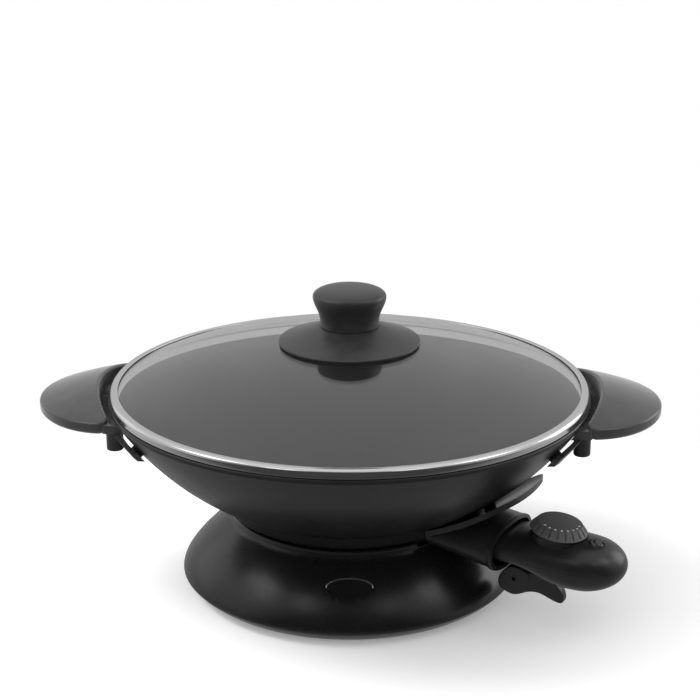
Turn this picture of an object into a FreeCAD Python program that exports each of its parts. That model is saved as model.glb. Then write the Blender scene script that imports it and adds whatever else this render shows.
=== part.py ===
import FreeCAD, Part
import math
import os

# Electric wok with a lift-off glass lid and a plug-in temperature probe.
# Units are millimetres. The origin is on the table, on the axis of the pan. +Z is up, the two
# handles lie along X and the front of the base faces -Y.

V = FreeCAD.Vector
UP = V(0, 0, 1)
ORIGIN = V(0, 0, 0)

# ---- fits and clearances ----
body_gap = 0.3          # between pieces that move apart
seat_gap = 0.1          # between pieces that rest on each other
thread_fit = 0.05       # radial, screw in its tapped hole
shank_fit = 0.3         # radial, screw through its clearance hole
slide_fit = 0.3         # radial, probe parts on the fixed pins

# ---- pan ----
pan_r = 210.0           # outer radius of the round-bottomed wall
pan_centre_z = 256.6    # height of the wall's centre
pan_wall = 3.2
pan_floor_r = 62.0      # flat cooking floor
pan_floor_t = 4.5
lip_r = 178.0           # outer edge of the lip
lip_t = 4.0             # height of the lip's outer face
lip_top_z = 147.6
foot_r = 92.5           # visible foot ring
foot_step_z = 62.0
spigot_r = 84.5         # ring that drops into the neck of the base
spigot_wall = 4.5
spigot_low_z = 48.5
pan_boss_r = 5.5        # bosses that take the base's screws
pan_boss_at = 75.0
base_turn = 2.0          # the base, badge and probe are turned this far from the handles' line
base_screw_angles = (30.0 + base_turn, 150.0 + base_turn, 270.0 + base_turn)

# ---- heating element ----
element_r = 3.2
element_ring_r = 52.0
element_low = 0.6       # clearance of the tube's top under the pan's floor
element_turn_r = 10.0
element_rib_w = 5.5
element_rib_h = 4.0
element_end_u = 96.0
leg_rise_from = 60.0
leg_rise_to = 74.0
leg_bend_r = 9.0
pin_v = 14.0            # half the distance between the two terminal pins
pin_r = 2.4
pin_end_u = 121.0
insulator_r = 5.0

# ---- probe axis ----
probe_angle = -30.0 + base_turn  # direction of the probe, seen from above, measured from +X
probe_z = 58.3          # height of the pins and of the sensing rod

# ---- guard plate and shroud ----
guard_r = 242.0         # radius of the guard's curved top
guard_gap = 1.0         # gap to the pan at the foot ring
guard_t = 4.0
guard_edge_r = 148.2    # outer edge, from the pan's axis
guard_half_w = 38.5
guard_corner_r = 14.0
shroud_wall = 2.6
shroud_end_u = 135.0
shroud_lip = 0.5        # bead around the mouth
shroud_lip_w = 3.0
shroud_inner_r = 93.0   # where the shroud starts, just outside the foot ring
shroud_screw_u = 103.5
shroud_screw_v = 22.0
shroud_pad_r = 7.0
# stations of the shroud: distance from the pan's axis, half width, bottom and top
shroud_stations = ((84.0, 38.4, 53.0, 73.0), (97.0, 37.2, 49.0, 73.2), (116.0, 35.6, 44.0, 72.6),
                   (shroud_end_u, 34.0, 39.6, 71.4))
shroud_power = 2.45      # squareness of its section

# ---- handles ----
handle_centre_x = 160.0  # centre of the wing's half ellipse
handle_long = 70.0       # half axis outwards
handle_half_w = 69.5     # half axis along the rim
handle_in_x = 184.5      # inner edge at the middle of the handle
handle_in_r = 137.0      # radius of that inner edge
crown_x = 132.0          # highest line of the wing's curved top
crown_z = 160.8
crown_long_r = 280.0     # radius of the top along X
crown_side_r = 177.0     # radius of the top along Y
handle_t = 9.0
handle_corner_r = 6.0
handle_top_round = 2.4
handle_low_round = 3.2
skirt_w = 5.5            # wall under the wing's inner edge
flange_low_z = 136.2     # flange that reaches in under the pan's lip
flange_top_z = 142.6
flange_inset = 1.2
strap_gap = 2.5          # strap stands off the pan by this much
strap_t = 3.6
post_r = 6.2
post_at_r = 174.2
post_deg = 13.5
post_low_z = 114.7
post_sink = 4.0          # depth of the screw's counterbore
post_screw_out = 2.7     # the screw stands this much further out than the post's centre
handle_screw_r = 1.3
handle_screw_head_r = 2.4
rivet_deg = 28.0
rivet_z = 128.2
rivet_sink = 1.4         # rivet heads are let into the strap's pads

# ---- lid ----
dome_r = 435.3           # outer radius of the glass dome
dome_top_z = 188.1
glass_t = 4.0
glass_edge_r = 175.4
band_r = 176.8
band_t = 0.8
band_top_z = 154.2
band_round = 3.4
band_in_r = 170.5
skirt_r = 170.2
skirt_low_z = 142.0
lid_hole_r = 5.0
gasket_r = 14.0
gasket_t = 1.6
washer_r = 13.0
washer_t = 1.2
disc_r = 52.0
disc_edge_t = 2.2
disc_edge_gap = 0.4      # the disc's edge stays this far off the glass
disc_hub_r = 13.0
knob_r = 26.9
knob_foot_r = 21.7
knob_foot_z = 198.5
knob_wide_z = 220.5
knob_top_z = 227.5
insert_r = 4.0
insert_len = 14.0
lid_screw_r = 2.4

# ---- base ----
base_r = 126.0           # widest
base_wide_z = 10.8
base_foot_r = 113.4
base_foot_z = 0.8        # the shell stands this far off the table, on its rubber feet
base_wall = 3.0
neck_r = 88.5
neck_top_z = 54.0
neck_wall = 3.0
collar_h = 3.3           # upright rim on the neck, cut away for the probe
collar_gap_w = 79.0
ledge_r = 68.0           # inner edge of the ledge that carries the pan
ledge_t = 3.5
seat_ring_t = 1.8
rib_count = 12
rib_t = 2.4
foot_pad_r = 8.0
foot_pad_at = 103.0
foot_pad_t = 5.0
badge_angle = -90.0 + base_turn  # direction of the badge, seen from above
badge_w = 35.0
badge_h = 15.4
badge_t = 1.2
badge_at_z = 37.4

# ---- probe housing ----
shell_wall = 2.2
split_z = 54.0
split_gap = 0.15
neck_front_u = 111.0
neck_w = 27.6
neck_low_z = 46.4
neck_high_z = 67.4
nose_u = 192.0           # where the rounded end starts
nose_len = 30.5
housing_w = 28.2
housing_low_z = 35.4
housing_high_z = 70.4
housing_power = 2.35     # squareness of the section
# stations of the housing: distance from the pan's axis, half width, bottom and top
housing_stations = ((neck_front_u, neck_w - 0.6, neck_low_z + 3.4, neck_high_z - 0.8),
                    (124.0, neck_w - 0.2, neck_low_z + 1.4, neck_high_z - 0.4),
                    (138.0, neck_w, neck_low_z, neck_high_z),
                    (150.0, 28.0, 45.0, 69.4), (162.0, 28.2, 41.4, 70.6),
                    (176.0, housing_w, 36.8, 70.6))
housing_screw_grip = 8.0  # thickness under the split that each screw passes through
mouth_w = 19.5
mouth_h = 13.0
rod_r = 3.0
rod_tip_u = 75.0
rod_root_u = 147.6
socket_w = 14.0          # boss under the pan that takes the rod's tip
socket_low_z = 53.6
sleeve_wall = 0.9
sleeve_front_u = 113.0
sleeve_back_u = 134.0
carrier_front_u = 115.0
carrier_back_u = 131.0
carrier_w = 44.0
carrier_h = 15.0

# ---- dial ----
dial_u = 171.4
dial_z = 73.0
dial_tilt = 8.0
dial_r = 20.8
dial_top_r = 16.2
dial_side_h = 6.2
dial_dome = 0.8
dial_grooves = 20
dial_groove_from = 1.0    # angle of the first groove, from the probe's line
dial_groove_w = 1.1
dial_groove_d = 0.9
dial_marks = 8
dial_mark_r = 0.75
dial_mark_from = -116.0  # angles of the first and the last mark
dial_mark_to = 13.0
dial_mark_at = 14.0
dial_shaft_r = 3.0
turret_r = 19.4
bush_r = 6.0
bush_len = 8.0

# ---- lamp, gland, screws ----
lens_u = 201.0
lens_r = 4.2
bezel_r = 7.0
gland_u = 200.0
gland_z = 49.0
gland_r = 6.5
cord_hole_r = 3.6
m4_r = 2.0
m4_head_r = 3.8
m4_head_t = 2.6
m3_r = 1.5
m3_head_r = 2.8
m3_head_t = 2.0

# ---- trigger ----
pivot_u = 143.0
pivot_z = 33.0
trigger_w = 24.0
trigger_tip_w = 2.0
trigger_tip_u = 182.0
trigger_round = 1.0
trigger_slot = 9.0
trigger_pin_r = 1.5
pivot_fit = 0.08

# ---------- helpers ----------
def cylinder(r, z0, z1, x=0.0, y=0.0):
    return Part.makeCylinder(r, z1 - z0, V(x, y, z0), UP)


def ring(r_out, r_in, z0, z1):
    return cylinder(r_out, z0, z1).cut(cylinder(r_in, z0 - 1, z1 + 1))


def sphere(r, centre_z):
    return Part.makeSphere(r, V(0, 0, centre_z))


def bowl_z(r_sphere, centre_z, r):
    """height of a bowl-shaped sphere at distance r from the axis"""
    return centre_z - math.sqrt(r_sphere ** 2 - r ** 2)


def dome_z(r):
    """height of the glass dome's outside at distance r from the axis"""
    return dome_top_z - dome_r + math.sqrt(dome_r ** 2 - r ** 2)


def revolved(edges):
    """solid of revolution about Z from edges in the XZ plane"""
    face = Part.Face(Part.Wire(edges))
    return face.revolve(ORIGIN, UP, 360)


def flat(r, z):
    return V(r, 0, z)


def line(a, b):
    return Part.makeLine(a, b)


def lines(points):
    return [line(a, b) for a, b in zip(points[:-1], points[1:])]


def arc_on_sphere(r_sphere, centre_z, r0, r1, below=True):
    """arc of a sphere's outline between two distances from the axis"""
    side = -1 if below else 1

    def at(r):
        return flat(r, centre_z + side * math.sqrt(r_sphere ** 2 - r ** 2))

    return Part.Arc(at(r0), at((r0 + r1) / 2), at(r1)).toShape()


def shoulder_arc(r, top_z, shoulder_r):
    """quarter round at the outer top corner of a turned piece"""
    inset = shoulder_r * (1 - math.sqrt(0.5))
    return Part.Arc(flat(r - shoulder_r, top_z), flat(r - inset, top_z - inset),
                    flat(r, top_z - shoulder_r)).toShape()


def bezier(points):
    curve = Part.BezierCurve()
    curve.setPoles(points)
    return curve.toShape()


def along_probe(shape):
    """turn a shape made along +X so that it lies along the probe"""
    shape.rotate(ORIGIN, UP, probe_angle)
    return shape


def turned(shape, angle):
    copy = shape.copy()
    copy.rotate(ORIGIN, UP, angle)
    return copy


def rod_x(r, x0, x1, y, z):
    return Part.makeCylinder(r, x1 - x0, V(x0, y, z), V(1, 0, 0))


def oval(x, half_w, z0, z1, power=2.6, count=28):
    """closed rounded section in the plane at x"""
    half_h = (z1 - z0) / 2
    mid = (z0 + z1) / 2
    points = []
    for i in range(count):
        a = 2 * math.pi * i / count
        c, s = math.cos(a), math.sin(a)
        y = half_w * math.copysign(abs(c) ** (2 / power), c)
        z = mid + half_h * math.copysign(abs(s) ** (2 / power), s)
        points.append(V(x, y, z))
    curve = Part.BSplineCurve()
    curve.interpolate(points, PeriodicFlag=True)
    return Part.Wire([curve.toShape()])


def loft(sections):
    return Part.makeLoft(sections, True, False)


def pan_head_screw(r, head_r, head_t, length):
    """screw along +Z: shank from 0 to length, head below 0"""
    shank = cylinder(r, 0, length)
    head = cylinder(head_r, -head_t, 0)
    head = round_rim(head, -head_t, head_t * 0.5)
    slot = Part.makeBox(head_r * 1.3, 0.9, 0.9, V(-head_r * 0.65, -0.45, -head_t - 0.01))
    cross = slot.copy()
    cross.rotate(ORIGIN, UP, 90)
    return shank.fuse(head).cut(slot).cut(cross)


def placed(shape, pos, axis=UP):
    """copy of a shape made along +Z, moved to pos and pointed along axis"""
    copy = shape.copy()
    copy.Placement = FreeCAD.Placement(pos, FreeCAD.Rotation(UP, axis))
    return copy


def round_rim(shape, z, r):
    """fillet the flat edges that lie at height z"""
    rims = [e for e in shape.Edges if abs(e.BoundBox.ZMin - z) < 1e-6 and e.BoundBox.ZLength < 1e-6]
    return shape.makeFillet(r, rims)


def group(shapes):
    return Part.makeCompound(shapes)


def around(radius, angle, z=0.0):
    a = math.radians(angle)
    return V(radius * math.cos(a), radius * math.sin(a), z)


# ---------- pan ----------
floor_z = bowl_z(pan_r - pan_wall, pan_centre_z, pan_floor_r)
underside_z = floor_z - pan_floor_t
element_z = underside_z - element_low - element_r + element_rib_h * 0.5
lip_in_r = lip_r - lip_t - 1.5
guard_centre_z = bowl_z(pan_r, pan_centre_z, foot_r) - guard_gap + math.sqrt(guard_r ** 2 - foot_r ** 2)


def make_pan():
    inner_r = pan_r - pan_wall
    lip_low_z = lip_top_z - lip_t
    wall_top_r = math.sqrt(pan_r ** 2 - (pan_centre_z - lip_low_z) ** 2)
    flat_r = math.sqrt(pan_r ** 2 - (pan_centre_z - underside_z) ** 2)
    spigot_in_r = spigot_r - spigot_wall
    inner_top_z = bowl_z(inner_r, pan_centre_z, lip_in_r)

    def outer(r):
        return flat(r, bowl_z(pan_r, pan_centre_z, r))

    lip_bulge = flat(lip_r, (lip_low_z + lip_top_z) / 2)
    edges = [line(flat(0, underside_z), flat(flat_r, underside_z)),
             arc_on_sphere(pan_r, pan_centre_z, flat_r, spigot_in_r)]
    edges += lines([outer(spigot_in_r), flat(spigot_in_r, spigot_low_z), flat(spigot_r, spigot_low_z),
                    flat(spigot_r, foot_step_z), flat(foot_r, foot_step_z), outer(foot_r)])
    edges += [arc_on_sphere(pan_r, pan_centre_z, foot_r, wall_top_r),
              Part.Arc(flat(wall_top_r, lip_low_z), lip_bulge, flat(lip_r - 0.8, lip_top_z)).toShape()]
    edges += lines([flat(lip_r - 0.8, lip_top_z), flat(lip_in_r, lip_top_z), flat(lip_in_r, inner_top_z)])
    edges += [arc_on_sphere(inner_r, pan_centre_z, lip_in_r, pan_floor_r)]
    edges += lines([flat(pan_floor_r, floor_z), flat(0, floor_z), flat(0, underside_z)])
    pan = revolved(edges)

    inside = sphere(pan_r - pan_wall / 2, pan_centre_z)
    for angle in base_screw_angles:
        boss_at = around(pan_boss_at, angle)
        boss = cylinder(pan_boss_r, spigot_low_z, floor_z, boss_at.x, boss_at.y).cut(inside)
        hole = cylinder(m4_r + thread_fit, spigot_low_z - 1, spigot_low_z + 9, boss_at.x, boss_at.y)
        pan = pan.fuse(boss).cut(hole)

    rib = ring(element_ring_r + element_rib_w, element_ring_r - element_rib_w,
               underside_z - element_rib_h, underside_z + 0.5)
    gap = Part.makeBox(2 * element_ring_r, 2 * pin_v + 3 * element_turn_r, 4 * element_rib_h,
                       V(0, -pin_v - 1.5 * element_turn_r, underside_z - 4 * element_rib_h))
    pan = pan.fuse(rib.cut(along_probe(gap)))

    socket = Part.makeBox(spigot_r - 70, socket_w, floor_z + 6 - socket_low_z,
                          V(70, -socket_w / 2, socket_low_z)).cut(inside)
    pan = pan.fuse(along_probe(socket))
    cuts = [rod_x(rod_r + slide_fit, rod_tip_u - 1, foot_r, 0, probe_z)]
    for v in (-pin_v, pin_v):
        cuts.append(rod_x(insulator_r + seat_gap, spigot_in_r - 6, spigot_r + 1, v, probe_z))
    for v in (-shroud_screw_v, shroud_screw_v):
        stud_r = math.hypot(shroud_screw_u, v)
        top_z = bowl_z(pan_r, pan_centre_z, stud_r) + 3
        stud = cylinder(4.0, shroud_roof_z(stud_r), top_z, shroud_screw_u, v)
        stud = stud.cut(inside)
        pan = pan.fuse(along_probe(stud))
        cuts.append(cylinder(m3_r + thread_fit, shroud_roof_z(stud_r) - 1, shroud_roof_z(stud_r) + 7,
                             shroud_screw_u, v))
    for cut in cuts:
        pan = pan.cut(along_probe(cut))
    pan = pan.cut(make_element(element_r + seat_gap))
    for angle in rivet_angles():
        pos, out = rivet_place(angle)
        pan = pan.cut(placed(cylinder(2.0 + thread_fit, -2.0, 3.0), pos, out))
    return pan.removeSplitter()


# ---------- heating element and terminals ----------
def make_element(tube_r):
    """one tube: terminal, leg, turn, ring, and the same back to the other terminal"""
    turn_reach = element_ring_r + element_turn_r
    turn_u = math.sqrt(turn_reach ** 2 - (pin_v + element_turn_r) ** 2)
    share = element_ring_r / turn_reach
    join = V(turn_u * share, (pin_v + element_turn_r) * share, element_z)
    centre = V(turn_u, pin_v + element_turn_r, element_z)
    mid_dir = (join + V(turn_u, pin_v, element_z)) * 0.5 - centre
    mid_dir.normalize()
    rise = probe_z - element_z
    slope = math.atan2(rise, leg_rise_to - leg_rise_from)
    back = leg_bend_r * math.tan(slope / 2)

    def leg(side):
        """points of a leg's vertical S bend"""
        y = pin_v * side

        def bend(corner_u, z, sign, first, second):
            before = V(corner_u - back * first[0], y, z - back * first[1])
            after = V(corner_u + back * second[0], y, z + back * second[1])
            hub = V(corner_u - back * sign, y, z + leg_bend_r * sign)
            to_mid = (before + after) * 0.5 - hub
            to_mid.normalize()
            return before, Part.Arc(before, hub + to_mid * leg_bend_r, after).toShape(), after

        c, s = math.cos(slope), math.sin(slope)
        a0, low_arc, a1 = bend(leg_rise_from, element_z, 1, (1, 0), (c, s))
        b0, high_arc, b1 = bend(leg_rise_to, probe_z, -1, (c, s), (1, 0))
        return [line(V(turn_u, y, element_z), a0), low_arc, line(a1, b0), high_arc,
                line(b1, V(element_end_u, y, probe_z))]

    def mirrored(p):
        return V(p.x, -p.y, p.z)

    mid = centre + mid_dir * element_turn_r
    turn_a = Part.Arc(V(turn_u, pin_v, element_z), mid, join).toShape()
    big = Part.Arc(join, V(-element_ring_r, 0, element_z), mirrored(join)).toShape()
    turn_b = Part.Arc(mirrored(join), mirrored(mid), V(turn_u, -pin_v, element_z)).toShape()
    path = Part.Wire(Part.__sortEdges__(leg(1) + [turn_a, big, turn_b] + leg(-1)))
    ends = [v.Point for v in path.OrderedVertexes]
    section = Part.Wire([Part.Circle(ends[0], V(1, 0, 0), tube_r).toShape()])
    return along_probe(path.makePipeShell([section], True, False))


def make_terminal_pins():
    pins = []
    for v in (-pin_v, pin_v):
        pin = rod_x(pin_r, element_end_u, pin_end_u, v, probe_z)
        tip = [e for e in pin.Edges if abs(e.BoundBox.XMin - pin_end_u) < 1e-6]
        pins.append(along_probe(pin.makeFillet(pin_r * 0.6, tip)))
    return group(pins)


def make_insulators():
    beads = []
    for v in (-pin_v, pin_v):
        bead = rod_x(insulator_r, spigot_r - spigot_wall - 3, spigot_r - 2.4, v, probe_z)
        bead = bead.cut(rod_x(element_r + seat_gap, 0, foot_r, v, probe_z))
        beads.append(along_probe(bead))
    return group(beads)


# ---------- guard plate and shroud ----------
def shroud_roof_z(r):
    """underside of the shroud's roof where the shroud lies against the guard"""
    return bowl_z(guard_r + guard_t + seat_gap + shroud_wall, guard_centre_z, r) - 0.6


def make_guard():
    plan = Part.makeBox(guard_edge_r, 2 * guard_half_w, 60, V(foot_r * 0.8, -guard_half_w, 50))
    plan = plan.common(cylinder(guard_edge_r, 40, 120))
    corners = [e for e in plan.Edges if e.BoundBox.ZLength > 50 and e.BoundBox.XMin > guard_edge_r * 0.9]
    plan = plan.makeFillet(guard_corner_r, corners)
    plan = plan.cut(cylinder(foot_r + 0.5, 40, 120))
    guard = plan.common(sphere(guard_r + guard_t, guard_centre_z)).cut(sphere(guard_r, guard_centre_z))
    for v in (-shroud_screw_v, shroud_screw_v):
        guard = guard.cut(cylinder(4.0 + seat_gap, 40, 120, shroud_screw_u, v))
    return along_probe(guard)


def shroud_form(inset, start=0.0, end=0.0):
    """the shroud's outline shape, shrunk by inset; the ends can be run on"""
    sections = []
    last = len(shroud_stations) - 1
    for i, (u, half_w, z0, z1) in enumerate(shroud_stations):
        at = u - start if i == 0 else u + end if i == last else u
        sections.append(oval(at, half_w - inset, z0 + inset, z1 - inset, shroud_power))
    return loft(sections)


def make_shroud():
    body = shroud_form(0.0)
    bead_u = shroud_end_u - shroud_lip_w
    half_w, z0, z1 = shroud_stations[-1][1:]
    grown = (half_w + shroud_lip, z0 - shroud_lip, z1 + shroud_lip)
    bead = loft([oval(bead_u - 2, half_w - 0.6, z0 + 0.6, z1 - 0.6, shroud_power),
                 oval(bead_u, *grown, shroud_power), oval(shroud_end_u, *grown, shroud_power)])
    body = body.fuse(bead)
    under_guard = sphere(guard_r + guard_t + seat_gap, guard_centre_z)
    body = body.cut(under_guard)
    hollow = shroud_form(shroud_wall, 6.0, 6.0).cut(sphere(guard_r + guard_t + seat_gap + shroud_wall,
                                                           guard_centre_z))
    body = body.cut(hollow)
    for v in (-shroud_screw_v, shroud_screw_v):
        roof_z = shroud_roof_z(math.hypot(shroud_screw_u, v))
        pad = cylinder(shroud_pad_r, roof_z, roof_z + 6, shroud_screw_u, v).cut(under_guard)
        body = body.fuse(pad)
        body = body.cut(cylinder(4.0 + seat_gap, roof_z - 1, 120, shroud_screw_u, v))
        body = body.cut(cylinder(5.2 + shank_fit, roof_z - 8, roof_z, shroud_screw_u, v))
    body = body.cut(cylinder(shroud_inner_r, 0, 120))
    for v in (-pin_v, 0.0, pin_v):
        body = body.cut(rod_x(element_r + 0.6, 80, element_end_u + 3, v, probe_z))
    return along_probe(body.removeSplitter())


def make_shroud_screws():
    screw = pan_head_screw(m3_r, 5.2, m3_head_t, 6.0)
    screws = []
    for v in (-shroud_screw_v, shroud_screw_v):
        roof_z = shroud_roof_z(math.hypot(shroud_screw_u, v))
        screws.append(along_probe(placed(screw, V(shroud_screw_u, v, roof_z - seat_gap))))
    return group(screws)


# ---------- handles ----------
def mirrored_x(shape):
    return shape.mirror(ORIGIN, V(1, 0, 0))


def seam_behind(shape):
    """half a turn about Z, so that the shape's seam lies away from the right-hand handle"""
    return turned(shape, 180)


def handle_crown(drop):
    """body under the wing's curved top, lowered by drop"""
    side_r = crown_side_r - drop
    top = crown_z - drop
    half = side_r * 0.6
    fall = side_r - math.sqrt(side_r ** 2 - half ** 2)
    corner_z = top - fall
    arc = Part.Arc(V(crown_x, -half, corner_z), V(crown_x, 0, top), V(crown_x, half, corner_z)).toShape()
    deep = crown_z - 90
    frame = lines([V(crown_x, half, corner_z), V(crown_x, half, deep), V(crown_x, -half, deep),
                   V(crown_x, -half, corner_z)])
    body = Part.Face(Part.Wire([arc] + frame))
    hub = V(crown_x, 0, crown_z - crown_long_r)
    body.rotate(hub, V(0, 1, 0), -4)
    return body.revolve(hub, V(0, 1, 0), 30)


def crown_height(x, y, drop):
    across = crown_long_r - crown_side_r + math.sqrt((crown_side_r - drop) ** 2 - y ** 2)
    return crown_z - crown_long_r + math.sqrt(across ** 2 - (x - crown_x) ** 2)


def lies_on_crown(edge, drop):
    span = edge.LastParameter - edge.FirstParameter
    spots = [edge.valueAt(edge.FirstParameter + span * k) for k in (0, 0.3, 1)]
    return all(abs(p.z - crown_height(p.x, p.y, drop)) < 0.01 for p in spots)


def handle_plan(inset, z0, z1):
    """upright prism on the wing's half ellipse"""
    outline = seam_behind(Part.Ellipse(ORIGIN, handle_long - inset, handle_half_w - inset).toShape())
    outline.translate(V(handle_centre_x, 0, z0))
    return Part.Face(Part.Wire([outline])).extrude(V(0, 0, z1 - z0))


def inner_edge(radius):
    """upright cylinder whose wall runs along the wing's inner edge"""
    return seam_behind(Part.makeCylinder(radius, 150, V(handle_in_r - handle_in_x, 0, 50), UP))


def post_place(side):
    return around(post_at_r, side * post_deg)


def screw_place(side):
    return around(post_at_r + post_screw_out, side * post_deg)


def make_handle():
    """right-hand wing: half ellipse in plan, crowned top, rounded edge, flange under the lip"""
    wing = handle_plan(0.0, 100, 200).common(handle_crown(0.0)).cut(handle_crown(handle_t))
    wing = wing.cut(inner_edge(handle_in_r)).removeSplitter()
    corners = [e for e in wing.Edges if e.Length < handle_t * 1.3]
    wing = wing.makeFillet(handle_corner_r, corners)
    wing = wing.makeFillet(handle_top_round, [e for e in wing.Edges if lies_on_crown(e, 0.0)])
    wing = wing.makeFillet(handle_low_round, [e for e in wing.Edges if lies_on_crown(e, handle_t)])
    reach = inner_edge(handle_in_r + skirt_w)
    skirt = handle_plan(handle_corner_r, flange_low_z, crown_z)
    skirt = skirt.common(handle_crown(handle_t / 2)).common(reach)
    skirt = skirt.cut(inner_edge(handle_in_r))
    flange = handle_plan(flange_inset, flange_low_z, flange_top_z).common(reach)
    flange = flange.cut(sphere(pan_r + body_gap, pan_centre_z))
    flange = flange.common(Part.makeBox(80, 200, 80, V(140, -100, 100)))
    handle = wing.fuse(skirt).fuse(flange)
    for side in (-1, 1):
        at = screw_place(side)
        handle = handle.cut(cylinder(handle_screw_r + thread_fit, 100, flange_low_z + 4.2, at.x, at.y))
    return handle.removeSplitter()


def strap_outline():
    """side view of the strap, a band whose two ends droop along the pan"""
    top = flange_low_z - seat_gap
    half = [(88.0, rivet_z - 4.4), (90.0, rivet_z + 1.5), (80.0, top - 2.0), (70.0, top)]
    under = [(45.0, top - 6.0), (75.0, top - 9.0)]
    pts = [V(0, y, z) for y, z in half] + [V(0, -y, z) for y, z in reversed(half)]
    pts += [V(0, -y, z) for y, z in reversed(under)] + [V(0, y, z) for y, z in under]
    return Part.Face(Part.makePolygon(pts + [pts[0]])).extrude(V(260, 0, 0))


def pan_seat_r(z):
    return math.sqrt(pan_r ** 2 - (pan_centre_z - z) ** 2)


def rivet_angles():
    return [side + off for side in (0.0, 180.0) for off in (-rivet_deg, rivet_deg)]


def rivet_place(angle):
    """point on the pan's wall and the wall's outward direction there"""
    pos = around(pan_seat_r(rivet_z), angle, rivet_z)
    out = (pos - V(0, 0, pan_centre_z)).normalize()
    return pos, out


def make_bracket():
    """right-hand strap with two screw posts and two riveted end pads"""
    inner = sphere(pan_r + strap_gap, pan_centre_z)
    outer = sphere(pan_r + strap_gap + strap_t, pan_centre_z)
    strap = strap_outline().common(outer).cut(inner)
    for side in (-1, 1):
        pos, out = rivet_place(side * rivet_deg)
        strap = strap.fuse(placed(cylinder(5.0, 0, strap_gap + strap_t - 0.5), pos, out))
        at = post_place(side)
        post = cylinder(post_r, post_low_z, flange_low_z - seat_gap, at.x, at.y)
        strap = strap.fuse(round_rim(post, post_low_z, 1.2))
    strap = strap.cut(sphere(pan_r + seat_gap, pan_centre_z))
    for side in (-1, 1):
        at = screw_place(side)
        strap = strap.cut(cylinder(handle_screw_r + shank_fit, 100, 160, at.x, at.y))
        sink = cylinder(handle_screw_head_r + shank_fit, 100, post_low_z + post_sink, at.x, at.y)
        strap = strap.cut(sink)
        pos, out = rivet_place(side * rivet_deg)
        strap = strap.cut(placed(cylinder(2.0 + thread_fit, -3, 12), pos, out))
        strap = strap.cut(placed(cylinder(3.6 + seat_gap, rivet_seat(), 12), pos, out))
    half = Part.makeBox(200, 400, 200, V(60, -200, 60))
    return strap.common(half).removeSplitter()


def rivet_seat():
    """height of the rivet head's seat over the pan's wall"""
    return strap_gap + strap_t - rivet_sink


def make_handle_screws():
    screws = []
    seat_z = post_low_z + post_sink - seat_gap
    screw = pan_head_screw(handle_screw_r, handle_screw_head_r, 1.8, flange_low_z + 3.9 - seat_z)
    for base in (0.0, 180.0):
        for side in (-1, 1):
            screws.append(placed(screw, around(post_at_r + post_screw_out, base + side * post_deg, seat_z)))
    return group(screws)


def make_rivets():
    rivets = []
    seat = rivet_seat() + seat_gap
    shank = cylinder(2.0, -1.8, seat)
    head = round_rim(cylinder(3.6, seat, seat + 1.4), seat + 1.4, 1.0)
    rivet = shank.fuse(head)
    for angle in rivet_angles():
        pos, out = rivet_place(angle)
        rivets.append(placed(rivet, pos, out))
    return group(rivets)


# ---------- lid ----------
glass_seat_z = lip_top_z + body_gap + band_t + seat_gap


def make_glass():
    outer = Part.makeSphere(dome_r, V(0, 0, dome_top_z - dome_r))
    inner = Part.makeSphere(dome_r - glass_t, V(0, 0, dome_top_z - dome_r))
    slab = cylinder(glass_edge_r, glass_seat_z, dome_top_z + 10)
    glass = slab.common(outer).cut(inner)
    return glass.cut(cylinder(lid_hole_r, 100, 300))


def make_band():
    """rolled steel edge: closed over the glass, with a skirt that locates in the pan"""
    low_z = lip_top_z + body_gap
    t = band_t
    round_low_z = band_top_z - band_round
    round_r = band_r - band_round
    edges = lines([flat(round_r, band_top_z - t), flat(band_in_r, band_top_z - t),
                   flat(band_in_r, band_top_z), flat(round_r, band_top_z)])
    edges.append(shoulder_arc(band_r, band_top_z, band_round))
    edges += lines([flat(band_r, round_low_z), flat(band_r, low_z), flat(skirt_r, low_z),
                    flat(skirt_r, skirt_low_z), flat(skirt_r - t, skirt_low_z), flat(skirt_r - t, low_z + t),
                    flat(band_r - t, low_z + t), flat(band_r - t, round_low_z)])
    edges.append(shoulder_arc(band_r - t, band_top_z - t, band_round - t))
    return revolved(edges)


def make_heat_disc():
    """shallow cone under the knob, with a hub that stands on the gasket"""
    edge_round = disc_edge_t / 2
    edge_r = disc_r - edge_round
    edge_z = dome_z(edge_r) + disc_edge_gap
    edge_top = edge_z + disc_edge_t
    hub_low = dome_top_z + seat_gap + gasket_t
    edges = lines([flat(lid_hole_r, hub_low), flat(disc_hub_r, hub_low)])
    edges += [bezier([flat(disc_hub_r, hub_low), flat(disc_hub_r + 3, knob_foot_z - 4.2),
                      flat(disc_r * 0.7, edge_top - 0.4), flat(edge_r, edge_z)])]
    edges += [Part.Arc(flat(edge_r, edge_z), flat(disc_r, edge_z + edge_round),
                       flat(edge_r, edge_top)).toShape()]
    edges += [bezier([flat(edge_r, edge_top), flat(disc_r * 0.72, edge_top + 4.2),
                      flat(knob_foot_r, knob_foot_z - seat_gap)])]
    edges += lines([flat(knob_foot_r, knob_foot_z - seat_gap), flat(lid_hole_r, knob_foot_z - seat_gap),
                    flat(lid_hole_r, hub_low)])
    return revolved(edges)


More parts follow.
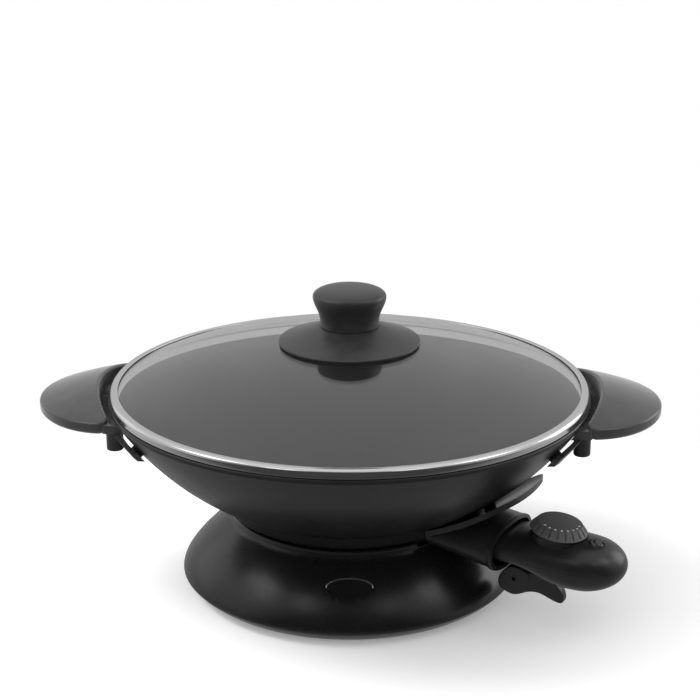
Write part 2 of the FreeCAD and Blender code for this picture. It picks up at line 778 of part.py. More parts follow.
def make_knob():
    """mushroom knob: foot, waist and a domed cap"""
    foot_top = knob_foot_z + 0.8
    edges = [line(flat(0, knob_foot_z), flat(knob_foot_r - 0.6, knob_foot_z)),
             Part.Arc(flat(knob_foot_r - 0.6, knob_foot_z), flat(knob_foot_r - 0.1, knob_foot_z + 0.3),
                      flat(knob_foot_r, foot_top)).toShape(),
             bezier([flat(knob_foot_r, foot_top), flat(knob_foot_r - 1.1, foot_top + 9.7),
                     flat(knob_r, knob_wide_z - 6.5), flat(knob_r, knob_wide_z)]),
             bezier([flat(knob_r, knob_wide_z), flat(knob_r, knob_top_z - 3.0), flat(knob_r - 6, knob_top_z),
                     flat(0, knob_top_z)]),
             line(flat(0, knob_top_z), flat(0, knob_foot_z))]
    knob = revolved(edges)
    return knob.cut(cylinder(insert_r + thread_fit, knob_foot_z - 1, knob_foot_z + insert_len + 2))


def make_insert():
    insert = cylinder(insert_r, knob_foot_z, knob_foot_z + insert_len)
    return insert.cut(cylinder(lid_screw_r + thread_fit, knob_foot_z - 1, knob_foot_z + insert_len + 1))


lid_under_z = dome_top_z - glass_t


def make_lid_gaskets():
    above = ring(gasket_r, lid_screw_r + shank_fit, dome_top_z + seat_gap / 2, dome_top_z + gasket_t)
    low_z = lid_under_z - gasket_t - 0.4
    below = ring(gasket_r, lid_screw_r + shank_fit, low_z, lid_under_z)
    below = below.common(Part.makeSphere(dome_r - glass_t - seat_gap, V(0, 0, dome_top_z - dome_r)))
    return group([above, below])


def make_washer():
    top_z = lid_under_z - gasket_t - 0.4 - seat_gap
    return ring(washer_r, lid_screw_r + shank_fit, top_z - washer_t, top_z)


def make_knob_screw():
    seat_z = lid_under_z - gasket_t - 0.4 - seat_gap - washer_t - seat_gap
    length = knob_foot_z + insert_len - 1 - seat_z
    return placed(pan_head_screw(lid_screw_r, 4.6, 2.8, length), V(0, 0, seat_z))


# ---------- base ----------
def base_outer_curve(inset=0.0):
    """bell outline from the widest point up to the neck"""
    return [flat(base_r - inset, base_wide_z), flat(base_r - inset, base_wide_z + 10.2),
            flat(neck_r + 10.4 - inset, neck_top_z - 9.2 - inset), flat(neck_r - inset, neck_top_z - 1.4 - inset)]


def bell_form(inset):
    """solid bell of the base, shrunk by inset"""
    foot_z = base_foot_z + inset
    outer = base_outer_curve(inset)
    top_z = neck_top_z + collar_h - inset
    rim_r = neck_r - inset
    edges = [line(flat(0, foot_z), flat(base_foot_r, foot_z)),
             bezier([flat(base_foot_r, foot_z), flat(base_foot_r + 3.0, foot_z),
                     flat(base_r - inset, base_wide_z - 1.6), outer[0]]),
             bezier(outer),
             line(outer[-1], flat(rim_r, top_z - 1.4)),
             shoulder_arc(rim_r, top_z, 1.4)]
    edges += lines([flat(rim_r - 1.4, top_z), flat(0, top_z), flat(0, foot_z)])
    return revolved(edges)


def make_base():
    """open-bottomed bell with a ledge in its neck, ribs under it and cups for the feet"""
    neck_in_r = neck_r - neck_wall
    ledge_z = spigot_low_z - seat_gap - seat_ring_t - seat_gap
    ledge_low_z = ledge_z - ledge_t
    hollow = bell_form(base_wall).cut(cylinder(base_r, ledge_low_z, neck_top_z + 1))
    shell = bell_form(0.0).cut(hollow)
    for cut in (cylinder(ledge_r, 0, 60), cylinder(neck_in_r, ledge_z, 60), cylinder(base_foot_r - 4, 0, 20)):
        shell = shell.cut(cut)
    gap = Part.makeBox(base_r, collar_gap_w, 2 * collar_h, V(ledge_r, -collar_gap_w / 2, neck_top_z))
    shell = shell.cut(along_probe(gap))

    inside = bell_form(1.0)
    rib_low_z = base_foot_z + base_wall - 0.5
    for i in range(rib_count):
        rib = Part.makeBox(base_r, rib_t, ledge_z - 0.5 - rib_low_z,
                           V(ledge_r + 1.0, -rib_t / 2, rib_low_z))
        slope = Part.makeBox(120, 4 * rib_t, 60, V(0, -2 * rib_t, -60))
        slope.rotate(ORIGIN, V(0, 1, 0), 50)
        slope.translate(V(ledge_r + 1.0, 0, ledge_low_z - 5))
        rib = rib.cut(slope).common(inside)
        shell = shell.fuse(turned(rib, badge_angle + (i + 0.5) * 360.0 / rib_count))
    for angle in base_screw_angles:
        at = around(pan_boss_at, angle)
        post = cylinder(pan_boss_r, ledge_low_z - 6, ledge_z, at.x, at.y)
        shell = shell.fuse(post)
        shell = shell.cut(cylinder(m4_r + shank_fit, 0, 60, at.x, at.y))
    for i in range(4):
        at = around(foot_pad_at, 45 + 90 * i)
        cup = cylinder(foot_pad_r + 2.2, base_foot_z, base_foot_z + 9, at.x, at.y)
        arm = turned(Part.makeBox(24, 6, 8, V(foot_pad_at + 4, -3, base_foot_z)), 45 + 90 * i)
        shell = shell.fuse(cup.fuse(arm.common(inside)))
        shell = shell.cut(cylinder(foot_pad_r + seat_gap, 0, foot_pad_t, at.x, at.y))
    return shell.cut(badge_pocket()).removeSplitter()


def badge_place():
    """point and outward direction of the badge on the bell"""
    curve = Part.BezierCurve()
    curve.setPoles(base_outer_curve())
    best = min((curve.value(i / 200.0) for i in range(201)), key=lambda p: abs(p.z - badge_at_z))
    tangent = curve.tangent(curve.parameter(best))[0]
    out = V(-tangent.z, 0, tangent.x)
    if out.x < 0:
        out = out * -1
    return best, out


def badge_blank(extra, depth, height):
    """oval disc on the bell, made facing the front of the base"""
    best, out = badge_place()
    outline = Part.Ellipse(ORIGIN, badge_w / 2 + extra, badge_h / 2 + extra)
    face = Part.Face(Part.Wire([outline.toShape()]))
    blank = face.extrude(V(0, 0, depth + height))
    blank.translate(V(0, 0, -depth))
    blank.rotate(ORIGIN, UP, 90)
    blank.rotate(ORIGIN, V(0, 1, 0), math.degrees(math.atan2(out.x, out.z)))
    blank.translate(best)
    return turned(blank, badge_angle)


def badge_pocket():
    return badge_blank(seat_gap, badge_t, 5.0)


def make_badge():
    """plain oval plate with a raised rim"""
    plate = badge_blank(0.0, badge_t - seat_gap, 0.5)
    field = badge_blank(-1.3, -0.05, 2.0)
    return plate.cut(field)


def make_seat_ring():
    low_z = spigot_low_z - seat_gap - seat_ring_t
    seat = ring(spigot_r, spigot_r - spigot_wall - 9.8, low_z, low_z + seat_ring_t)
    for angle in base_screw_angles:
        at = around(pan_boss_at, angle)
        seat = seat.cut(cylinder(m4_r + shank_fit, 0, 60, at.x, at.y))
    return seat


def make_base_screws():
    seat_z = spigot_low_z - 2 * seat_gap - seat_ring_t - ledge_t - 6 - seat_gap
    screw = pan_head_screw(m4_r, m4_head_r, m4_head_t, spigot_low_z + 7.5 - seat_z)
    return group([placed(screw, around(pan_boss_at, a, seat_z)) for a in base_screw_angles])


def make_feet():
    pads = []
    for i in range(4):
        at = around(foot_pad_at, 45 + 90 * i)
        pad = cylinder(foot_pad_r, 0, foot_pad_t - seat_gap, at.x, at.y)
        pads.append(round_rim(pad, 0, 0.6))
    return group(pads)


# ---------- probe ----------
def housing_form(inset):
    """the probe's outer shape, shrunk by inset, made along +X"""
    sections = []
    for i, (u, half_w, z0, z1) in enumerate(housing_stations):
        at = u + inset if i == 0 else u
        sections.append(oval(at, half_w - inset, z0 + inset, z1 - inset, housing_power))
    mid = (housing_low_z + housing_high_z) / 2
    half = (housing_high_z - housing_low_z) / 2
    for i in range(7):
        a = math.radians(88.0 * (i / 6.0) ** 0.85)
        size = max(math.cos(a), 0.05) ** 0.92
        reach = nose_u + (nose_len - inset) * math.sin(a)
        sections.append(oval(reach, (housing_w - inset) * size, mid - (half - inset) * size,
                             mid + (half - inset) * size, housing_power - 0.35 * i / 6.0))
    return loft(sections)


def dial_frame():
    """point at the centre of the dial's lower rim and the dial's axis, along +X"""
    a = math.radians(dial_tilt)
    return V(dial_u, 0, dial_z), V(math.sin(a), 0, math.cos(a))


def on_dial(shape):
    """place a shape made about Z at the dial"""
    pos, axis = dial_frame()
    return placed(shape, pos, axis)


def lens_frame():
    """seat of the indicator on the end of the housing"""
    a = math.radians(24.0)
    return V(lens_u, 0, housing_high_z - 3.4), V(math.sin(a), 0, math.cos(a))


def on_lens(shape):
    pos, axis = lens_frame()
    return placed(shape, pos, axis)


def housing_solid():
    outer = housing_form(0.0)
    turret = on_dial(cylinder(turret_r, -14, -body_gap - 0.5))
    outer = outer.fuse(turret)
    outer = outer.fuse(on_lens(round_rim(cylinder(bezel_r, -8, 2.6), 2.6, 1.2)))
    gland_boss = Part.makeCylinder(gland_r + 2.0, 10.0, V(gland_u, housing_w - 8.5, gland_z), V(0, 1, 0))
    outer = outer.fuse(gland_boss)
    inner = housing_form(shell_wall)
    turret_room = on_dial(cylinder(turret_r - shell_wall, -16, -body_gap - 0.5 - shell_wall))
    body = outer.cut(inner.fuse(turret_room))
    # trigger lug, a flat tongue under the neck
    lug_w = trigger_slot - 1.2
    lug = Part.makeCylinder(5.0, lug_w, V(pivot_u, -lug_w / 2, pivot_z), V(0, 1, 0))
    web = Part.makeBox(10.0, trigger_slot - 1.2, 46.0 - pivot_z + 2.0,
                       V(pivot_u - 5.0, -(trigger_slot - 1.2) / 2, pivot_z))
    body = body.fuse(lug.fuse(web))
    cuts = [Part.makeBox(10, 2 * mouth_w, mouth_h, V(neck_front_u - 5, -mouth_w, probe_z - mouth_h / 2)),
            on_dial(cylinder(bush_r + seat_gap, -20, 5)),
            on_lens(cylinder(lens_r + seat_gap, -20, 10)),
            Part.makeCylinder(gland_r + seat_gap, 60, V(gland_u, 10, gland_z), V(0, 1, 0)),
            Part.makeCylinder(trigger_pin_r + seat_gap, 40, V(pivot_u, -20, pivot_z), V(0, 1, 0))]
    for cut in cuts:
        body = body.cut(cut)
    return body


def screw_posts():
    """places of the posts: the lower ones are drilled through, the upper ones are tapped"""
    return [(180.0, -15.5), (180.0, 15.5), (213.0, 0.0)]


def make_housings():
    body = housing_solid()
    form = housing_form(0.6)
    big = 400
    above = Part.makeBox(big, big, big, V(0, -big / 2, split_z + split_gap / 2))
    below = Part.makeBox(big, big, big, V(0, -big / 2, split_z - split_gap / 2 - big))
    upper = body.common(above)
    lower = body.common(below)
    for u, v in screw_posts():
        post_up = cylinder(3.4, split_z + split_gap / 2, 80, u, v).common(form)
        post_low = cylinder(4.4, 20, split_z - split_gap / 2, u, v).common(form)
        upper = upper.fuse(post_up).cut(cylinder(m3_r + thread_fit, split_z - 1, split_z + 8, u, v))
        lower = lower.fuse(post_low).cut(cylinder(m3_r + shank_fit, 0, split_z + 1, u, v))
        lower = lower.cut(cylinder(m3_head_r + shank_fit, 0, split_z - housing_screw_grip, u, v))
    upper = upper.cut(on_dial(cylinder(bush_r + seat_gap, -20, 5)))
    upper = upper.cut(on_dial(cylinder(dial_r + 0.8, -body_gap - 0.2, 15)))
    upper = upper.cut(on_lens(cylinder(lens_r + seat_gap, -20, 10)))
    return along_probe(upper), along_probe(lower)


def make_housing_screws():
    seat = split_z - housing_screw_grip - seat_gap
    screw = pan_head_screw(m3_r, m3_head_r, m3_head_t, split_z + 7 - seat)
    return group([along_probe(placed(screw, V(u, v, seat))) for u, v in screw_posts()])


def make_rod():
    rod = rod_x(rod_r, rod_tip_u, rod_root_u, 0, probe_z)
    tip = [e for e in rod.Edges if abs(e.BoundBox.XMax - rod_tip_u) < 1e-6]
    rod = rod.makeFillet(rod_r * 0.7, tip)
    collar = rod_x(rod_r + 1.8, carrier_back_u + 1.0, carrier_back_u + 4.0, 0, probe_z)
    return along_probe(rod.fuse(collar))


def make_sleeves():
    sleeves = []
    for v in (-pin_v, pin_v):
        outer = rod_x(pin_r + slide_fit + sleeve_wall, sleeve_front_u, sleeve_back_u, v, probe_z)
        outer = outer.cut(rod_x(pin_r + slide_fit, sleeve_front_u - 1, sleeve_back_u - 3, v, probe_z))
        tab = Part.makeBox(14.0, 3.0, 0.8, V(sleeve_back_u - 0.5, v - 1.5, probe_z - 0.4))
        sleeves.append(along_probe(outer.fuse(tab)))
    return group(sleeves)


def make_carrier():
    block = Part.makeBox(carrier_back_u - carrier_front_u, carrier_w, carrier_h,
                         V(carrier_front_u, -carrier_w / 2, probe_z - carrier_h / 2))
    block = block.cut(rod_x(rod_r + seat_gap, 100, 140, 0, probe_z))
    for v in (-pin_v, pin_v):
        block = block.cut(rod_x(pin_r + slide_fit + sleeve_wall + seat_gap, 100, 140, v, probe_z))
    return along_probe(block.common(housing_form(shell_wall + seat_gap)))


frame_x0, frame_x1 = -20.4, 16.6   # from the dial's axis
frame_z = -bush_len - 1.5          # underside of the frame's plate, from the dial's lower rim


def make_thermostat_frame():
    """stamped frame that hangs from the dial bushing and carries the contact stack"""
    plate = Part.makeBox(frame_x1 - frame_x0, 18.0, 1.4, V(frame_x0, -9.0, frame_z))
    for x in (frame_x0, frame_x1 - 1.4):
        plate = plate.fuse(Part.makeBox(1.4, 18.0, 13.0, V(x, -9.0, frame_z - 11.6)))
    plate = plate.cut(cylinder(dial_shaft_r + 0.6, -40, 5))
    return along_probe(on_dial(plate).common(housing_form(shell_wall + seat_gap)))


def make_bimetal():
    """long blade under the frame, moved by the sensing rod"""
    blade = Part.makeBox(30.0, 6.0, 0.8, V(frame_x0 + 1.5, -3.0, frame_z - 9.4))
    return along_probe(on_dial(blade))


def make_contact_blades():
    blades = []
    for i, z in enumerate((frame_z - 5.6, frame_z - 3.2)):
        blade = Part.makeBox(26.0 - 2.0 * i, 5.0, 0.4, V(frame_x0 + 5.0, -2.5, z))
        blades.append(along_probe(on_dial(blade)))
    return group(blades)


def make_contact_points():
    x = frame_x0 + 26.0
    low = cylinder(1.4, frame_z - 5.2, frame_z - 4.35, x, 0)
    high = cylinder(1.4, frame_z - 4.25, frame_z - 3.2, x, 0)
    return group([along_probe(on_dial(point)) for point in (low, high)])


def make_spacers():
    """ceramic blocks that hold the blades apart in the frame"""
    x = frame_x0 + 5.0
    levels = ((frame_z - 8.6, frame_z - 5.6), (frame_z - 5.2, frame_z - 3.2), (frame_z - 2.8, frame_z))
    blocks = [Part.makeBox(6.0, 8.0, b - a, V(x, -4.0, a)) for a, b in levels]
    return group([along_probe(on_dial(block)) for block in blocks])


def make_bushing():
    """threaded bushing that clamps the frame in the turret"""
    bush = cylinder(bush_r, -bush_len, -body_gap - 0.6)
    bush = bush.cut(cylinder(dial_shaft_r + 0.08, -bush_len - 1, 5))
    return along_probe(on_dial(bush))


def make_lens():
    return along_probe(on_lens(round_rim(cylinder(lens_r, -4.0, 3.2), 3.2, 1.6)))


def make_lamp():
    """small neon lamp under the lens"""
    return along_probe(on_lens(round_rim(cylinder(2.4, -14.0, -4.6), -4.6, 2.0)))


def make_gland():
    """short bush where the cord leaves the housing"""
    start = V(gland_u, housing_w - 6.0, gland_z)
    bush = Part.makeCylinder(gland_r, 9.5, start, V(0, 1, 0))
    flange = Part.makeCylinder(gland_r + 2.2, 2.6, start, V(0, -1, 0))
    flange = flange.common(housing_form(shell_wall + seat_gap))
    bush = bush.fuse(flange).cut(Part.makeCylinder(cord_hole_r, 60, V(gland_u, 0, gland_z), V(0, 1, 0)))
    return along_probe(bush)


# ---------- dial ----------
def dial_top_z(r):
    """height of the dial's domed top at distance r from its axis"""
    crown_r = (dial_top_r ** 2 + dial_dome ** 2) / (2 * dial_dome)
    return dial_side_h + dial_dome - crown_r + math.sqrt(crown_r ** 2 - r ** 2)


def make_dial():
    """cone-sided dial with a ribbed edge and a domed top, and pits for its marks"""
    top = dial_side_h
    crown = dial_top_z(0)
    shoulder = dial_top_r - 0.6
    edges = lines([flat(0, 0), flat(dial_r - 0.6, 0), flat(dial_r, 0.8), flat(dial_top_r + 0.5, top - 0.6)])
    edges += [Part.Arc(flat(dial_top_r + 0.5, top - 0.6), flat(dial_top_r + 0.1, top - 0.1),
                       flat(shoulder, dial_top_z(shoulder))).toShape(),
              Part.Arc(flat(shoulder, dial_top_z(shoulder)), flat(shoulder / 2, dial_top_z(shoulder / 2)),
                       flat(0, crown)).toShape(),
              line(flat(0, crown), flat(0, 0))]
    dial = revolved(edges)
    lean = math.degrees(math.atan2(dial_r - dial_top_r, dial_side_h))
    for i in range(dial_grooves):
        groove = Part.makeBox(6, dial_groove_w, dial_side_h, V(-dial_groove_d, -dial_groove_w / 2, 0))
        groove.rotate(ORIGIN, V(0, 1, 0), -lean)
        groove.translate(V(dial_r - 0.7, 0, 1.4))
        dial = dial.cut(turned(groove, dial_groove_from + 360.0 * i / dial_grooves))
    dial = dial.cut(cylinder(dial_shaft_r + thread_fit, -1, 5.0))
    for at, z in mark_places():
        dial = dial.cut(cylinder(dial_mark_r + 0.05, z - 0.5, z + 5, at.x, at.y))
    return along_probe(on_dial(dial))


def mark_places():
    """mark positions on the dial and the height of its top there"""
    places = []
    step = (dial_mark_to - dial_mark_from) / (dial_marks - 1)
    for i in range(dial_marks):
        at = around(dial_mark_at, dial_mark_from + step * i)
        places.append((at, dial_top_z(dial_mark_at)))
    return places


def make_marks():
    dots = [cylinder(dial_mark_r, z - 0.45, z + 0.12, at.x, at.y) for at, z in mark_places()]
    return along_probe(on_dial(group(dots)))


def make_shaft():
    shaft = cylinder(dial_shaft_r, -bush_len - 2.0, 4.7)
    screw_end = cylinder(dial_shaft_r - 0.9, -bush_len - 3.0, -bush_len - 1.0)
    return along_probe(on_dial(shaft.fuse(screw_end)))


# ---------- trigger ----------
def trigger_outline():
    """side view of the trigger: round boss and a curved finger blade"""
    points = [(137.0, 40.4), (133.4, 36.4), (130.6, 30.6), (131.6, 25.0), (136.0, 22.0),
              (142.5, 20.6), (149.0, 22.6), (154.0, 25.0), (161.0, 25.0), (167.5, 21.8),
              (173.6, 18.6), (177.0, 18.2), (178.2, 21.0), (177.0, 26.0), (173.6, 31.0),
              (168.4, 35.0), (162.0, 37.8), (152.0, 40.6), (142.0, 42.6)]
    spline = Part.BSplineCurve()
    spline.interpolate([V(u, 0, z) for u, z in points], PeriodicFlag=True)
    return Part.Face(Part.Wire([spline.toShape()]))


def make_trigger():
    half_w = trigger_w / 2
    body = trigger_outline().extrude(V(0, trigger_w, 0))
    body.translate(V(0, -half_w, 0))
    rims = [e for e in body.Edges if e.BoundBox.YLength < 1e-6 and e.Length > 20]
    body = body.makeFillet(trigger_round, rims)
    half_tip = trigger_tip_w / 2
    plan = Part.makePolygon([V(120, -half_w - 1, 0), V(150, -half_w - 1, 0), V(trigger_tip_u, -half_tip, 0),
                             V(trigger_tip_u, half_tip, 0), V(150, half_w + 1, 0),
                             V(120, half_w + 1, 0), V(120, -half_w - 1, 0)])
    body = body.common(Part.Face(plan).extrude(V(0, 0, 80)))
    slot = Part.makeBox(30, trigger_slot, 40, V(pivot_u - 16, -trigger_slot / 2, pivot_z - 7.0))
    body = body.cut(slot)
    hole = Part.makeCylinder(trigger_pin_r + pivot_fit, 60, V(pivot_u, -30, pivot_z), V(0, 1, 0))
    return along_probe(body.cut(hole))


def make_trigger_pin():
    length = trigger_w - 2.0
    pin = Part.makeCylinder(trigger_pin_r, length, V(pivot_u, -length / 2, pivot_z), V(0, 1, 0))
    return along_probe(pin)


nodes = {}


def build():
    upper, lower = make_housings()
    handle = make_handle()
    bracket = make_bracket()
    nodes.update({
        "wok_pan": make_pan(),
        "heating_element": make_element(element_r),
        "terminal_pins": make_terminal_pins(),
        "terminal_insulators": make_insulators(),
        "guard_plate": make_guard(),
        "probe_shroud": make_shroud(),
        "shroud_screws": make_shroud_screws(),
        "right_handle": handle,
        "left_handle": mirrored_x(handle),
        "right_handle_bracket": bracket,
        "left_handle_bracket": mirrored_x(bracket),
        "handle_screws": make_handle_screws(),
        "bracket_rivets": make_rivets(),
        "lid_glass": make_glass(),
        "lid_rim_band": make_band(),
        "lid_knob": make_knob(),
        "knob_insert": make_insert(),
        "knob_heat_disc": make_heat_disc(),
        "knob_gaskets": make_lid_gaskets(),
        "knob_washer": make_washer(),
        "knob_screw": make_knob_screw(),
        "base_shell": make_base(),
        "base_seat_ring": make_seat_ring(),
        "base_screws": make_base_screws(),
        "rubber_feet": make_feet(),
        "base_badge": make_badge(),
        "probe_upper_housing": upper,
        "probe_lower_housing": lower,
        "housing_screws": make_housing_screws(),
        "sensing_rod": make_rod(),
        "contact_sleeves": make_sleeves(),
        "contact_carrier": make_carrier(),
        "thermostat_frame": make_thermostat_frame(),
        "bimetal_blade": make_bimetal(),
        "contact_blades": make_contact_blades(),
        "contact_points": make_contact_points(),
        "ceramic_spacers": make_spacers(),
        "dial_bushing": make_bushing(),
        "indicator_lens": make_lens(),
        "indicator_lamp": make_lamp(),
        "cord_gland": make_gland(),
        "control_dial": make_dial(),
        "dial_marks": make_marks(),
        "dial_shaft": make_shaft(),
        "release_trigger": make_trigger(),
        "trigger_pin": make_trigger_pin(),
    })


build()
os.makedirs("parts", exist_ok=True)
for name, shape in nodes.items():
    shape.exportStep("parts/" + name + ".step")
    print(name, "solids", len(shape.Solids), "volume", round(shape.Volume, 1), "valid", shape.isValid())
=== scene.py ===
import math

import bmesh
import bpy
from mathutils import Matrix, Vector


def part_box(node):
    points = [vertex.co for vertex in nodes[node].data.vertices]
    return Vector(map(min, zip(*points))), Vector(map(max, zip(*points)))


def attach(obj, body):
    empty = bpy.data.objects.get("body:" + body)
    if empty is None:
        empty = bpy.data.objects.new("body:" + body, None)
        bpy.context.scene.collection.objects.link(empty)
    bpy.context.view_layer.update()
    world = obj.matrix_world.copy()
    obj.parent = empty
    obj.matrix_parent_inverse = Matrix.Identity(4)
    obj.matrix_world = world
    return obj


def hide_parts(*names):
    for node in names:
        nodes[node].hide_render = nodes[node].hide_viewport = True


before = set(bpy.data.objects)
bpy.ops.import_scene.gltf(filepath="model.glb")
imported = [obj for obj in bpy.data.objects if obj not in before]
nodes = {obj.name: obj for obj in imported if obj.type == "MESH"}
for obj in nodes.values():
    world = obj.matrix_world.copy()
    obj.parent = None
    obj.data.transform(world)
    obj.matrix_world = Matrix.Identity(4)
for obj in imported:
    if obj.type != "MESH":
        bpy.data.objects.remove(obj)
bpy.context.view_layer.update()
scene = bpy.context.scene
mm = 0.001
print("frame loaded:", len(nodes), "nodes")


# ---- colours and node trees ----
def linear(code):
    # "#rrggbb" as it looks on a screen, to the linear colour that the shader wants
    parts = [int(code[i:i + 2], 16) / 255 for i in (1, 3, 5)]
    return [p / 12.92 if p <= 0.04045 else ((p + 0.055) / 1.055) ** 2.4 for p in parts] + [1.0]


def addNode(tree, kind, settings=None, links=None):
    node = tree.nodes.new(kind)
    for name, value in (settings or {}).items():
        if hasattr(node, name):
            setattr(node, name, value)
        else:
            node.inputs[name].default_value = value
    for name, source in (links or {}).items():
        tree.links.new(source, node.inputs[name])
    return node


def startMaterial(name, color, roughness, metallic=0.0, ior=1.5):
    material = bpy.data.materials.new(name)
    material.use_nodes = True
    tree = material.node_tree
    shader = tree.nodes["Principled BSDF"]
    shader.inputs["Base Color"].default_value = linear(color)
    shader.inputs["Roughness"].default_value = roughness
    shader.inputs["Metallic"].default_value = metallic
    if not metallic:
        shader.inputs["IOR"].default_value = ior
    where = addNode(tree, "ShaderNodeTexCoord").outputs["Object"]
    return material, tree, shader, where


def noise(tree, where, size, detail=3.0, rough=0.55):
    # grey noise whose blobs are about size metres across
    return addNode(tree, "ShaderNodeTexNoise", {"Scale": 1 / size, "Detail": detail, "Roughness": rough},
                   {"Vector": where}).outputs["Fac"]


def spread(tree, fac, low, high):
    # noise keeps mostly between 0.3 and 0.7, which becomes low to high
    usual = {"From Min": 0.3, "From Max": 0.7, "To Min": low, "To Max": high}
    return addNode(tree, "ShaderNodeMapRange", usual, {"Value": fac}).outputs["Result"]


def tint(tree, shader, fac, dark, light):
    mix = addNode(tree, "ShaderNodeMix", {"data_type": "RGBA"})
    tree.links.new(fac, mix.inputs[0])
    mix.inputs[6].default_value = linear(dark)
    mix.inputs[7].default_value = linear(light)
    tree.links.new(mix.outputs[2], shader.inputs["Base Color"])


def gloss(tree, shader, fac, low, high):
    tree.links.new(spread(tree, fac, low, high), shader.inputs["Roughness"])


def bump(tree, shader, height, depth, strength=1.0, under=None):
    links = {"Height": height}
    if under:
        links["Normal"] = under
    made = addNode(tree, "ShaderNodeBump", {"Strength": strength, "Distance": depth}, links)
    tree.links.new(made.outputs["Normal"], shader.inputs["Normal"])
    return made.outputs["Normal"]


# ---- materials ----
def nonstickCoating():
    # PTFE coating sprayed on cast aluminium and baked: satin charcoal, with the orange peel of the spray
    # and a fine mica grit. The grit is drawn twice as coarse as it is, to show at all.
    look = {"dark": "#151516", "light": "#222223", "roughness": (0.30, 0.40),
            "cloud": 38 * mm, "peel": 2.4 * mm, "grit": 0.8 * mm}
    material, tree, shader, where = startMaterial("nonstickCoating", look["dark"], 0.35)
    cloudy = noise(tree, where, look["cloud"], 4.0)
    grit = noise(tree, where, look["grit"], 2.0, 0.7)
    both = addNode(tree, "ShaderNodeMath", {"operation": "MULTIPLY"})
    tree.links.new(spread(tree, cloudy, 0.6, 1.0), both.inputs[0])
    tree.links.new(spread(tree, grit, 0.2, 1.0), both.inputs[1])
    tint(tree, shader, both.outputs[0], look["dark"], look["light"])
    gloss(tree, shader, cloudy, *look["roughness"])
    peel = bump(tree, shader, noise(tree, where, look["peel"], 1.0), 0.02 * mm, 0.5)
    bump(tree, shader, grit, 0.008 * mm, 0.5, peel)
    return material


def enamelledSteel():
    # black stove enamel on pressed steel: glassy, with the slow waves that a thick coat takes
    look = {"dark": "#121213", "light": "#1b1b1c", "cloud": 25 * mm, "wave": 9 * mm}
    material, tree, shader, where = startMaterial("enamelledSteel", look["dark"], 0.16)
    cloudy = noise(tree, where, look["cloud"], 3.0)
    tint(tree, shader, spread(tree, cloudy, 0.0, 1.0), look["dark"], look["light"])
    gloss(tree, shader, cloudy, 0.12, 0.22)
    bump(tree, shader, noise(tree, where, look["wave"], 2.0), 0.05 * mm, 0.4)
    return material


def phenolic(name, dark, light, roughness, depth=0.012, haze=0.0):
    # phenolic resin, hot pressed in a polished mould: dense black, slightly cloudy where the resin flowed,
    # with a skin of very fine pores
    look = {"cloud": 16 * mm, "wave": 7 * mm, "pore": 1.1 * mm}
    material, tree, shader, where = startMaterial(name, dark, roughness[0], ior=1.56)
    cloudy = noise(tree, where, look["cloud"], 4.0)
    pores = noise(tree, where, look["pore"], 2.0, 0.65)
    tint(tree, shader, spread(tree, cloudy, 0.0, 1.0), dark, light)
    gloss(tree, shader, cloudy, *roughness)
    waves = bump(tree, shader, noise(tree, where, look["wave"], 1.0), 0.03 * mm, 0.35)
    bump(tree, shader, pores, depth * mm, 0.6, waves)
    shader.inputs["Sheen Weight"].default_value = haze  # the fine rubbing that shows at a low angle
    shader.inputs["Sheen Roughness"].default_value = 0.3
    return material


def absPlastic(name, dark, light, roughness, grain, depth):
    # ABS, injection moulded: the mould's spark-eroded grain gives an even satin, and the melt a slow swirl
    material, tree, shader, where = startMaterial(name, dark, roughness[0], ior=1.53)
    swirl = noise(tree, where, 30 * mm, 3.0)
    fine = noise(tree, where, grain, 2.0, 0.6)
    tint(tree, shader, spread(tree, swirl, 0.0, 1.0), dark, light)
    gloss(tree, shader, swirl, *roughness)
    bump(tree, shader, fine, depth, 0.6)
    return material


def temperedGlass():
    # soda-lime glass, bent and tempered: clear, with the long ripple of the bending
    look = {"tint": "#f5f5f5", "dust": 14 * mm, "ripple": 70 * mm}
    material, tree, shader, where = startMaterial("temperedGlass", look["tint"], 0.0, ior=1.52)
    shader.inputs["Transmission Weight"].default_value = 1.0
    dust = noise(tree, where, look["dust"], 5.0)
    gloss(tree, shader, dust, 0.0, 0.012)
    bump(tree, shader, noise(tree, where, look["ripple"], 1.0), 0.05 * mm, 0.25)
    return material


def rolledSteel():
    # stainless strip, bright annealed and roll formed: fine drawing lines along the strip
    look = {"dark": "#d2d2d3", "light": "#ececed", "line": 0.5 * mm}
    material, tree, shader, where = startMaterial("rolledSteel", look["light"], 0.2, metallic=1.0)
    place = addNode(tree, "ShaderNodeSeparateXYZ", {}, {"Vector": where})
    flat = addNode(tree, "ShaderNodeCombineXYZ", {}, {"X": place.outputs["X"], "Y": place.outputs["Y"]})
    across = addNode(tree, "ShaderNodeVectorMath", {"operation": "LENGTH"}, {0: flat.outputs[0]})
    profile = addNode(tree, "ShaderNodeCombineXYZ", {},
                      {"X": across.outputs["Value"], "Y": place.outputs["Z"]})
    lines = noise(tree, profile.outputs[0], look["line"], 2.0)
    cloudy = noise(tree, where, 12 * mm, 3.0)
    tint(tree, shader, spread(tree, lines, 0.0, 1.0), look["dark"], look["light"])
    gloss(tree, shader, cloudy, 0.10, 0.20)
    bump(tree, shader, lines, 0.004 * mm, 0.5)
    return material


